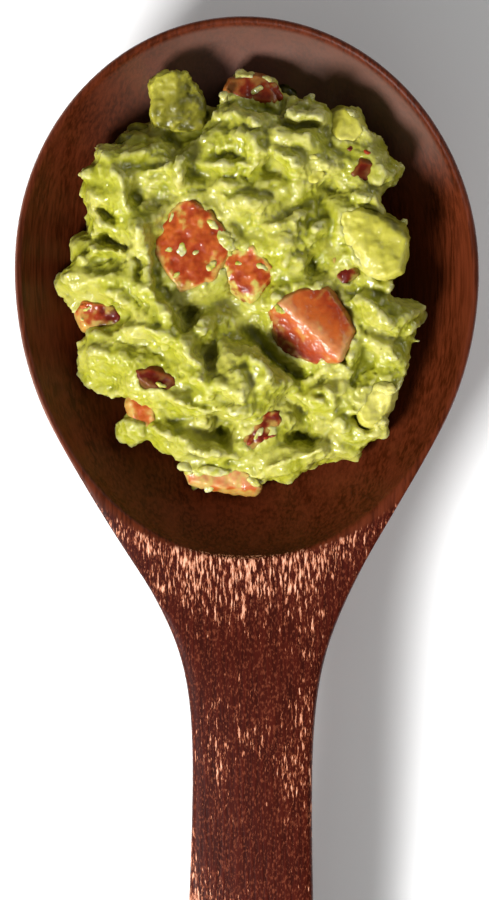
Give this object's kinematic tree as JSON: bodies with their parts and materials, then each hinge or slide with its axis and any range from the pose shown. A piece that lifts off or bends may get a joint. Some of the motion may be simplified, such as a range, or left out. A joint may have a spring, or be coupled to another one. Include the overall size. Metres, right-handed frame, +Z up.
{
  "type": "guacamole in a wooden spoon",
  "caption": "Heap of chunky guacamole with diced tomato, red onion and avocado, held in the oval bowl of a dark stained wooden serving spoon.",
  "frame": {"origin": "on the flat sanded spot under the spoon's bowl, below the bowl's widest line, on the surface the spoon rests on", "axes": "+Z up out of the bowl, +Y towards the bowl's tip, -Y along the handle, +X to the right"},
  "size_m": [0.0606, 0.1901, 0.0233],
  "materials": {
    "stained_wood": "satin dark red-brown stain, worn pale along the edges",
    "avocado_mash": "wet, coarse mash",
    "tomato": "wet cut flesh",
    "red_onion": "wet",
    "avocado": "soft, moist"
  },
  "bodies": {
    "root": {"wooden_spoon": "stained_wood", "guacamole": "avocado_mash", "tomato_dice": "tomato", "tomato_seeded": "tomato", "tomato_pulp": "tomato", "tomato_top": "tomato", "tomato_left": "tomato", "tomato_low_left": "tomato", "tomato_bottom": "tomato", "tomato_sliver": "tomato", "tomato_corner": "tomato", "red_onion_right": "red_onion", "red_onion_left": "red_onion", "avocado_right": "avocado", "avocado_low_right": "avocado", "avocado_top_right": "avocado", "avocado_top_left": "avocado"}
  },
  "joints": []
}
